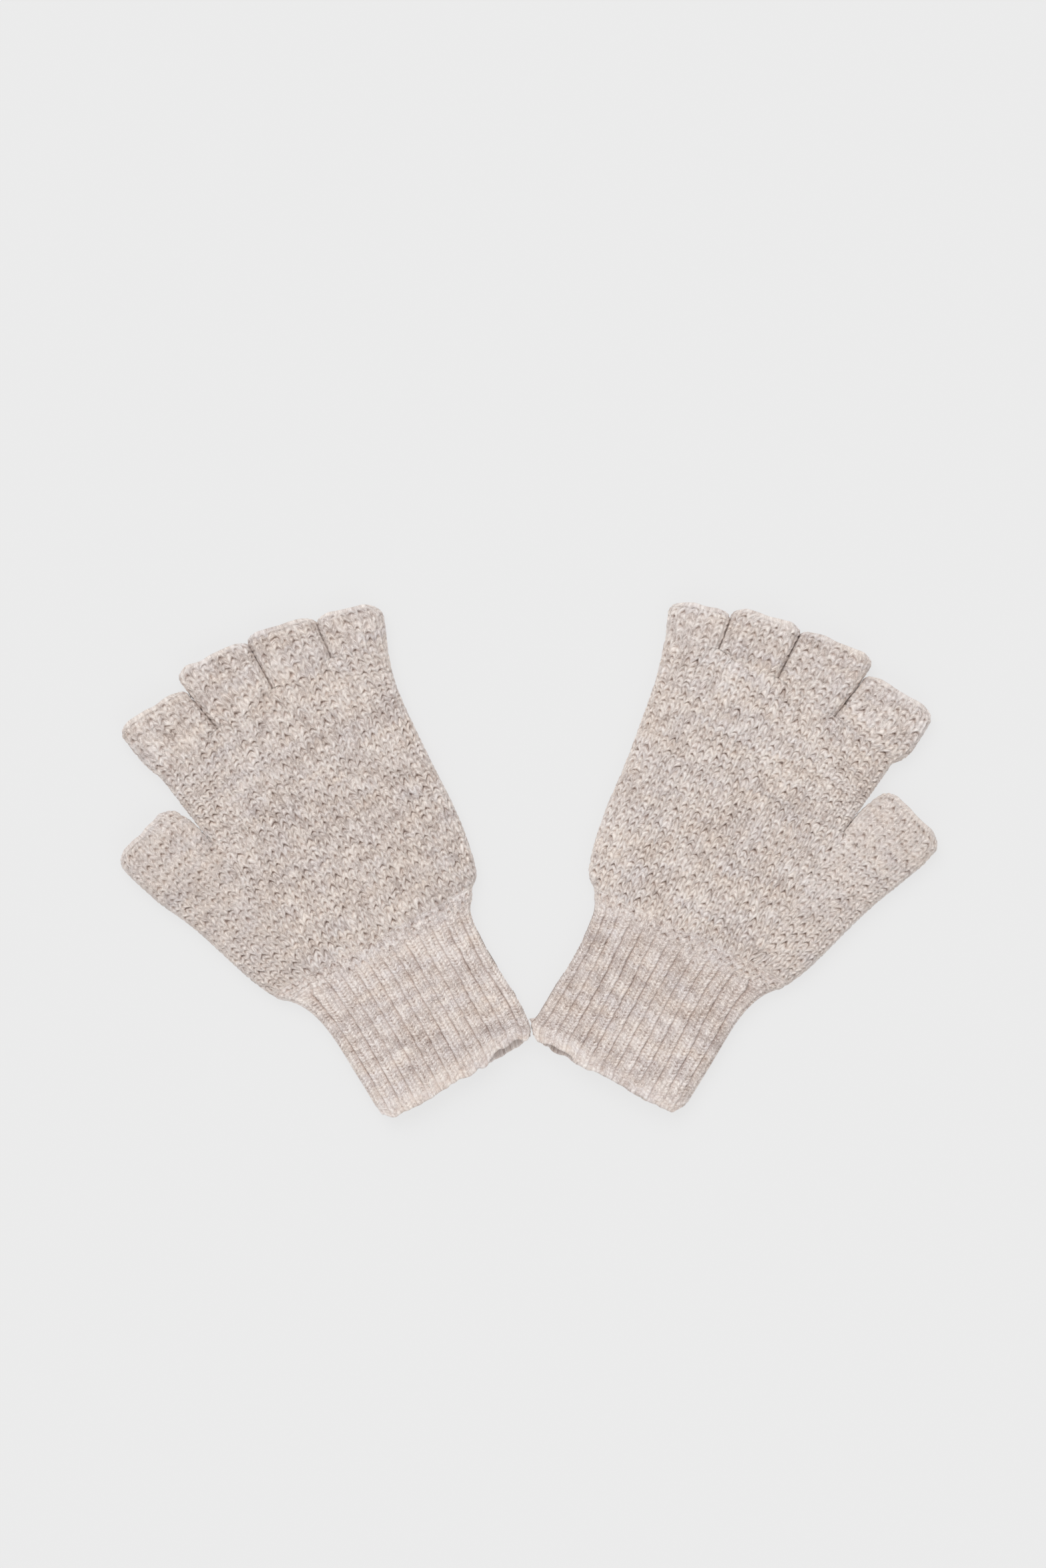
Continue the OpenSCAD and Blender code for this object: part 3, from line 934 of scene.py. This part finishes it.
def hand_pieces(glove):
    """The two faces of the hand, each one mesh of palm and thumb gusset. Returns each stall's root row."""
    plan, v, lower = palm_plan(glove)
    low_v = v[:lower + 1, None]
    rim = along_rail(glove.outline.gusset, low_v[:, 0] / THUMB_COURSES)
    g_plan = spread(glove, rim, gore_line(low_v[:, 0]), 260, GUSSET_COLUMNS, right_on_rim=False)
    starts = np.cumsum([0] + [n + 1 for n in PALM_COLUMNS])
    crotches = np.concatenate([starts[1:-1] - 1, starts[1:-1]])
    for side, tag, more in (("top", "_hand_palm", 0), ("under", "_hand_under", UNDER_SEED)):
        piece = Piece(glove, glove.side + tag)
        seed = glove.seed + more
        flip = side == "under"
        # The left column of the palm is on the rim only above the thumb
        points, normal, d, away, slit = glove.surface(plan, side, (0, -1))
        for own, inside in zip((points, normal, d, away), glove.surface(plan, side, (-1,))):
            own[:lower, 0] = inside[:lower, 0]
        # The columns at each crotch meet the rim on the last row
        points[-1, crotches, 2] = RIM_HEIGHT
        u, courses = fabric(palm_wales(plan[..., 0], v[:, None]), v[:, None], d, away)
        height, light, shade, warm, fibre = knit(u, courses, d, seed)
        seam = ease(v / 0.9)[:, None]
        # Shade is painted along the slits, where the stalls press together
        light, height = press_slits_and_paint_shade(light, height * seam, slit)
        numbers = piece.add(coat(points, normal, height), light, shade, warm, fibre)
        piece.grid(numbers, (0.0, 0.0, 0.76, 0.86), flip)
        # The gusset shares its last column with the palm
        gp, gn, gd, ga, _ = glove.surface(g_plan, side, (0,))
        gu, gv = fabric(np.linalg.norm(g_plan - g_plan[:, :1], axis=-1) / WALE, low_v, gd, ga)
        gh, gl, gs, gw, gf = knit(gu + GUSSET_WALES, gv, gd, seed + GUSSET_SEED)
        gs, gw = like_palm(gs, gw, g_plan[..., 0], low_v, gv, seed)
        gh = gh * seam[:lower + 1]
        g_numbers = piece.add(*[value[:, :-1] for value in (coat(gp, gn, gh), gl, gs, gw, gf)])
        g_numbers = np.concatenate([g_numbers, numbers[:lower + 1, :1]], 1)
        piece.grid(g_numbers, (0.78, 0.0, 1.0, 0.5), flip)
        # The lining has fewer points
        rows = every(LINING_ROWS, len(v), [lower])
        low_rows = rows[rows <= lower]
        inner = (points - WALL * normal)[np.ix_(rows, every(LINING_COLUMNS, plan.shape[1], crotches))]
        # The lining carries no stitches, only a flat painted shade of 0.8
        n_in = piece.add(inner, 0.8, 0.0, 0.0, (0, 0, 0))
        piece.grid(n_in, (0.0, 0.88, 0.76, 0.96), not flip)
        g_inner = (gp - WALL * gn)[np.ix_(low_rows, every(LINING_COLUMNS, GUSSET_COLUMNS + 1))]
        # The gusset's lining has the same flat painted shade
        n_gin = piece.add(g_inner[:, :-1], 0.8, 0.0, 0.0, (0, 0, 0))
        n_gin = np.concatenate([n_gin, n_in[:len(low_rows), :1]], 1)
        piece.grid(n_gin, (0.78, 0.52, 1.0, 0.6), not flip)
        # The edges of the shell
        bottom = np.concatenate([g_numbers[0], numbers[0, 1:]])
        bottom_in = np.concatenate([n_gin[0], n_in[0, 1:]])
        piece.join(bottom, bottom_in, (0.0, 0.97, 0.3, 0.975), not flip)
        piece.join(numbers[-1], n_in[-1], (0.3, 0.97, 0.6, 0.975), flip)
        piece.join(numbers[:, -1], n_in[:, -1], (0.6, 0.97, 1.0, 0.975), not flip)
        piece.join(numbers[lower:, 0], n_in[len(low_rows) - 1:, 0], (0.0, 0.98, 0.3, 0.985), flip)
        piece.join(g_numbers[-1], n_gin[-1], (0.3, 0.98, 0.6, 0.985), flip)
        piece.join(g_numbers[:, 0], n_gin[:, 0], (0.6, 0.98, 1.0, 0.985), flip)
        ob = piece.build("hand_knit", glove.side + "_hand")
        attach(ob, glove.side + "_hand")
    bases = {name: plan[-1, starts[k]:starts[k + 1]] for k, name in enumerate(FINGERS)}
    bases["thumb"] = g_plan[-1]
    return bases


def ring(numbers):
    """Point numbers round a tube, closed with the first column again."""
    return np.concatenate([numbers, numbers[:, :1]], 1)


class Tube:
    """A flattened tube of fabric. Each row of points runs over its top and back along its underside."""

    def __init__(self, glove, parts):
        """parts holds, for the top and the underside, the points of the fabric, its five shades and fibres,
        and the points and normals of the surface under it."""
        self.glove = glove
        pairs = zip(parts["top"], parts["under"])
        values = [np.concatenate([top, under[:, -2:0:-1]], 1) for top, under in pairs]
        self.coat, self.base, self.normal = values[:6], values[6], values[7]

    def lining(self, rows):
        """Points on the inner side of the fabric, which is WALL thick."""
        return self.base[rows] - WALL * self.normal[rows]

    def shell(self, name, slot, node, rows, step):
        """A stretch of the tube with its lining, which has a row of points at each step."""
        piece = Piece(self.glove, name)
        outer = ring(piece.add(*[value[rows] for value in self.coat]))
        piece.grid(outer, (0, 0, 1, 0.8))
        inner = self.lining(every(step, rows.stop - rows.start) + rows.start)
        # The lining carries no stitches, only a flat painted shade of 0.8
        inner = ring(piece.add(inner, 0.8, 0.0, 0.0, (0, 0, 0)))
        piece.grid(inner, (0, 0.84, 1, 0.92), True)
        piece.join(outer[0], inner[0], (0, 0.94, 1, 0.95), True)
        piece.join(outer[-1], inner[-1], (0, 0.96, 1, 0.97))
        return piece.build(slot, node)

    def hem(self, name, node, rows, lip, back, outward):
        """The end of the tube, which turns over at the row lip and runs inside it down to the row back."""
        piece = Piece(self.glove, name)
        outer = ring(piece.add(*[value[rows] for value in self.coat]))
        tip, normal = self.coat[0][lip], self.normal[lip]
        thick = WALL + ((tip - self.base[lip]) * normal).sum(-1)[:, None]
        turned = [
            tip - normal * thick * (1 - math.cos(angle)) / 2 + outward * math.sin(angle)
            for angle in np.linspace(0, math.pi, 7)[1:]
        ]
        inside = [turned[-1] * (1 - q) + self.lining(back) * q for q in (0.35, 0.7, 1.0)]
        rolled = np.array(turned + inside)
        shades = [np.broadcast_to(value[lip], (len(rolled),) + value[lip].shape) for value in self.coat[1:]]
        numbers = ring(piece.add(rolled, *shades))
        at_start = lip == 0
        piece.grid(outer, (0, 0, 1, 0.45))
        piece.grid(np.concatenate([outer[lip][None], numbers]), (0, 0.5, 1, 0.9), at_start)
        piece.join(outer[-1 if at_start else 0], numbers[-1], (0, 0.94, 1, 0.96), not at_start)
        return piece.build("edge", node)


# The cast-off edge of a stall, the cuff's hem and the wrist's seam, and how far the first two bulge where
# they turn over
EDGE_LENGTH = 2.8
EDGE_ROWS = 8
EDGE_TURN = 0.75
HEM_ROWS = 18
HEM_TURN = 0.8
SEAM_ROWS = 9
# Two distances from a stall's root, along its lean
BEND_START = 0.3
BEND_END = 12.0
# Each stall's lean from the glove's length, in degrees
LEANS = {"thumb": -20, "index": -14, "middle": -6.5, "ring": 0.5, "little": 12.5}


def stall(glove, name, base, first_wale, wales, first_course):
    """One stall: its tube and the cast-off edge at its mouth. Its first row is base, and its stitches are
    counted on from first_wale and first_course."""
    left, right = glove.outline.stalls[name]
    length = (np.linalg.norm(left[-1] - left[0]) + np.linalg.norm(right[-1] - right[0])) / 2
    tube_rows = int(round((length - EDGE_LENGTH) / ROW))
    edge_start = 1 - EDGE_LENGTH / length
    t = np.concatenate([
        np.linspace(0, edge_start, tube_rows + 1),
        np.linspace(edge_start, 1, EDGE_ROWS + 1)[1:],
    ])
    a, b = along_rail(left, t), along_rail(right, t)
    t = t[:, None]
    far = t * length
    # The columns start as the hand's and become even
    plan = spread(glove, a, b, 200, len(base) - 1)
    width = np.linalg.norm(b - a, axis=-1)[:, None]
    share = np.linalg.norm(plan - plan[:, :1], axis=-1) / np.maximum(width, 1e-9)
    base_share = np.linalg.norm(base - base[0], axis=-1) / np.linalg.norm(base[-1] - base[0])
    start = ease(far / 4)
    share = share * start + base_share * (1 - start)
    plan = a[:, None] + (b - a)[:, None] * share[..., None]
    plan[0] = base
    # The mouth's edge is uneven
    lean = math.radians(LEANS[name])
    forward = np.array([math.sin(lean), math.cos(lean)])
    wales_at = first_wale + share * wales
    drop = 0.5 * bell(np.minimum(share, 1 - share) * width, 1.6)
    drop = drop + 0.40 * noise(wales_at / 1.6, 0.5, glove.seed + 77)
    plan = plan - (drop * ease((far - (length - 6)) / 6))[..., None] * forward
    v = first_course + t * (length / COURSE)
    tip = ease((far - (length - 2.0)) / 0.9)
    ridge = np.sin(np.pi * np.clip((t - edge_start) * length / EDGE_LENGTH, 0, 1))
    pale = np.broadcast_to(tip * 0.35 + 0.12 * ease((t - 0.55) / 0.4), share.shape)
    parts = {}
    for side, seed in (("top", glove.seed), ("under", glove.seed + UNDER_SEED)):
        points, normal, d, away, slit = glove.surface(plan, side, (0, -1))
        u, courses = fabric(wales_at, v, d, away)
        plain = 0.15 * ease(far / 5)
        if name == "thumb":
            u = u + GUSSET_WALES
            height, light, shade, warm, fibre = knit(u, courses, d, seed + GUSSET_SEED, plain)
            shade, warm = like_palm(shade, warm, plan[..., 0], v, courses, seed)
        else:
            height, light, shade, warm, fibre = knit(u, courses, d, seed, plain)
        # Shade is painted along the slits, where the stalls press together
        light, height = press_slits_and_paint_shade(light, height, slit)
        # The cast-off edge is a chain of loops on a low ridge, with shade painted between the loops
        chain = np.abs(np.sin(np.pi * u)) ** 0.7
        height = height * (1 - tip) + tip * (0.30 * chain - 0.10 + 0.35 * ridge ** 0.7)
        light = light * (1 - tip) + tip * (0.70 + 0.30 * chain)
        parts[side] = (coat(points, normal, height), light, shade, warm, fibre, pale, points, normal)
    tube = Tube(glove, parts)
    full = glove.side + "_" + name
    middle = (base[0] + base[-1]) / 2
    start, end = glove.point(*(middle + BEND_START * forward)), glove.point(*(middle + BEND_END * forward))
    knitted = tube.shell(full + "_knit", "hand_knit", full, slice(0, tube_rows + 1), STALL_LINING_ROWS)
    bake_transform(knitted)
    outward = EDGE_TURN * np.append(forward, 0.0)
    edge = tube.hem(full + "_edge", full + "_hem", slice(tube_rows, len(t)), -1, tube_rows, outward)
    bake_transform(edge)


def cuff_pieces(glove):
    """The ribbed cuff, its loose hem, and the seam where the cuff joins the hand."""
    # Rows from the mouth up to the hand
    rib_rows = int(round((CUFF_LENGTH - HEM_LENGTH) / RIB_ROW))
    y = np.concatenate([
        np.linspace(0.0, HEM_LENGTH, HEM_ROWS + 1),
        np.linspace(HEM_LENGTH, CUFF_LENGTH, rib_rows + 1)[1:],
        np.linspace(CUFF_LENGTH, SEAM_TOP, SEAM_ROWS + 1)[1:],
    ])
    cuff_end = HEM_ROWS + rib_rows
    a, b = at_y(glove.outline.cuff_left, y), at_y(glove.outline.cuff_right, y)
    plan = spread(glove, a, b, 240, RIBS * RIB_COLUMNS)
    share = np.linspace(0, 1, RIBS * RIB_COLUMNS + 1)
    y = y[:, None]
    x = plan[..., 0]
    edge_gap = np.minimum(x - a[:, None, 0], b[:, None, 0] - x)
    # How much the mouth's, the hem's and the ribs' looks hold at each row
    low = ease(1 - y / 14)
    low_edge = 1 - ease((y - 1.0) / 6.5)
    rib_fade = ease((y - 1.5) / 7.0)
    to_hand = 1 - ease((y - SEAM_TOP + 1.6) / 1.6)
    pale = np.broadcast_to(0.75 * low_edge, x.shape)
    parts = {}
    for side, seed in (("top", glove.seed + 60), ("under", glove.seed + 90)):
        # The mouth's edge is uneven, and lies a little open on one side
        uneven = 0.6 * noise(x / 4.2, 0.5, seed + 31) + 0.5 * noise(x / 1.7, 0.5, seed + 32)
        if side == "top":
            up, first, first_width, last, last_width = glove.lift
            uneven = uneven + up * ease((x - first) / first_width) * ease((last - x) / last_width)
        else:
            uneven = uneven + glove.under_lift
        for at, width, how_far in glove.mouth:
            uneven = uneven + how_far * bell(x - at, width)
        p = plan.copy()
        p[..., 1] = p[..., 1] + uneven * low * ease(edge_gap / 2.5) + 2.2 * bell(edge_gap, 1.8) * low ** 3
        points, normal, d, away, _ = glove.surface(p, side, (0, -1))
        # The ribs keep nearly straight while the cuff widens towards the hand
        straight = 0.6 * ease(edge_gap / 13.0)
        u = RIBS * ((1 - straight) * share + straight * (x / CUFF_WIDTH + 0.5))
        u = u + (0.0 if side == "top" else UNDER_RIBS)
        height, light, shade, warm, fibre = rib(u, y / RIB_COURSE, d, seed, 0.25 + 0.75 * rib_fade)
        # The ribs run out into the hand's fabric at the wrist
        ribbed = 1 - ease((y + 2.0 * noise(x / 6.0, 0.5, seed + 45) - 51.5) / 7.0)
        _, kv = fabric(0.0, (y - SEAM_TOP) / COURSE, d, away)
        ku, _ = fabric(palm_wales(x, kv), 0.0, d, away)
        k_seed = glove.seed + (0 if side == "top" else UNDER_SEED)
        k_height, k_light, k_shade, k_warm, _ = knit(ku, kv, d, k_seed)
        # A shallow groove along the seam, with a little shade painted into it
        join = bell(y - 59.6 + 0.8 * noise(x / 7, 0, seed + 41), 1.0)
        height = (height * ribbed + (1 - ribbed) * k_height * 0.8 - 0.22 * join) * to_hand
        light = (light * ribbed + (1 - ribbed) * k_light) * (1 - 0.10 * join)
        shade = (shade + glove.cuff_tone) * ribbed + (1 - ribbed) * k_shade
        warm = warm * ribbed + (1 - ribbed) * k_warm
        # The hem's edge is scalloped, with shade painted between the scallops
        scallop = 0.5 + 0.5 * noise(share * RIBS * 2.6, y / 1.6, seed + 43)
        scallop = scallop + 0.5 * noise(share * RIBS * 6, y / 0.9, seed + 44)
        height = height + low_edge * (0.55 * scallop - 0.2)
        light = light * (1 - 0.30 * low_edge * (1 - np.clip(scallop, 0, 1)))
        parts[side] = (coat(points, normal, height), light, shade, warm, fibre, pale, points, normal)
    tube = Tube(glove, parts)
    side = glove.side
    rib_slice, seam_slice = slice(HEM_ROWS, cuff_end + 1), slice(cuff_end, len(y))
    cuff = tube.shell(side + "_cuff_rib", "rib", side + "_cuff", rib_slice, LINING_ROWS)
    start, end = glove.point(-3, CUFF_LENGTH - 0.1), glove.point(-3, CUFF_LENGTH - 12)
    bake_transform(cuff)
    seam = tube.shell(side + "_wrist_join", "rib", side + "_wrist_seam", seam_slice, LINING_ROWS)
    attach(seam, side + "_hand")
    outward = np.array([0.0, -HEM_TURN, 0.0])
    hem = tube.hem(side + "_cuff_edge", side + "_cuff_hem", slice(0, HEM_ROWS + 1), 0, HEM_ROWS, outward)
    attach(hem, side + "_cuff")


def make_glove(glove):
    """Every piece of one glove, with each stall starting from its row of points at the hand's roots."""
    bases = hand_pieces(glove)
    for name in FINGERS:
        wales = palm_wales(bases[name][:, 0], ROOT_COURSES)
        stall(glove, name, bases[name], wales[0], wales[-1] - wales[0], ROOT_COURSES)
    base = bases["thumb"]
    stall(glove, "thumb", base, 0.0, np.linalg.norm(base[-1] - base[0]) / WALE, THUMB_COURSES)
    cuff_pieces(glove)


# Points closer than this are in the same place
WELD = 2e-6


def share_normals(pieces):
    """Smooth shading runs on across pieces of fabric that meet: points in the same place share a normal."""
    places, normals = [], []
    for ob in pieces:
        n = len(ob.data.vertices)
        co, no = np.empty(n * 3, np.float32), np.empty(n * 3, np.float32)
        ob.data.vertices.foreach_get("co", co)
        ob.data.vertices.foreach_get("normal", no)
        places.append(co.reshape(-1, 3))
        normals.append(no.reshape(-1, 3))
    keys = np.round(np.vstack(places).astype(float) / WELD).astype(np.int64)
    keys = (keys[:, 0] * 4000037 + keys[:, 1]) * 4000037 + keys[:, 2]
    _, group = np.unique(keys, return_inverse=True)
    own = np.vstack(normals).astype(float)
    total = np.stack([np.bincount(group, own[:, k]) for k in range(3)], 1)[group]
    size = np.linalg.norm(total, axis=1, keepdims=True)
    shared = np.where(size > 1e-3, total / np.maximum(size, 1e-9), own)
    at = 0
    for ob in pieces:
        n = len(ob.data.vertices)
        ob.data.normals_split_custom_set_from_vertices(shared[at:at + n].tolist())
        at += n


left = Glove(
    "left", at=(-26.05, -82.35), lean=28.0, mirror=1, seed=100,
    outline=Outline(
        thumb_side=[(0, 0.7), (8, 0.7), (20, 0.4), (40, 0.2), (48, 0), (55, -1.0), (61, -0.6), (70, 0),
                    (95, 0), (112, -0.9)],
        little_side=[(0, 0), (49, 0), (57, 0.8), (62, 0.7), (70, 0), (90, 0), (162, 0)],
        trims={"thumb": (0.7, 0.5), "index": (2.5, 1.8), "middle": (1.4, 1.0), "ring": (1.1, 1.6),
               "little": (1.5, 2.3)},
        roots_out=(0.9, 1.2),
        index_side=((-48.7, 160.2), (-51.5, 177.8)), little_finger_side=((56.1, 165.0), (57.7, 173.6)),
    ),
    lift=(3.2, 11.0, 6.0, 31.0, 6.0), under_lift=0.9, mouth=((-20, 12, -0.6), (6, 6, 0.5), (28, 5, 0.7)),
    tone=-0.06, cuff_tone=0.05,
)
right = Glove(
    "right", at=(29.0, -80.75), lean=-26.0, mirror=-1, seed=400,
    outline=Outline(
        thumb_side=[(0, 0.8), (8, 0.6), (16, 0), (30, -0.5), (45, -0.5), (55, -1.0), (61, -0.3), (75, 0.4),
                    (95, 0.5), (112, 0.4)],
        little_side=[(0, 0.2), (4, 0.35), (10, -1.1), (16, -1.7), (30, -2.0), (45, -2.2), (58, -2.6),
                     (68, -3.0), (85, -2.7), (105, -2.2), (130, -1.0), (150, -0.1), (162, 0)],
        trims={"thumb": (-0.4, -1.0), "index": (2.2, 1.2), "middle": (1.4, 0.9), "ring": (2.0, 1.8),
               "little": (3.2, 3.7)},
        roots_out=(0.7, 0.0),
        index_side=((-49.6, 158.4), (-51.6, 177.8)), little_finger_side=((54.4, 164.5), (57.0, 173.6)),
    ),
    lift=(1.6, 12.0, 3.0, 27.0, 4.0), under_lift=0.2, mouth=((-22, 13, -1.3), (28, 5, 0.6)),
    tone=0.16, cuff_tone=-0.42,
)
for glove in (left, right):
    make_glove(glove)
    share_normals(glove.pieces)
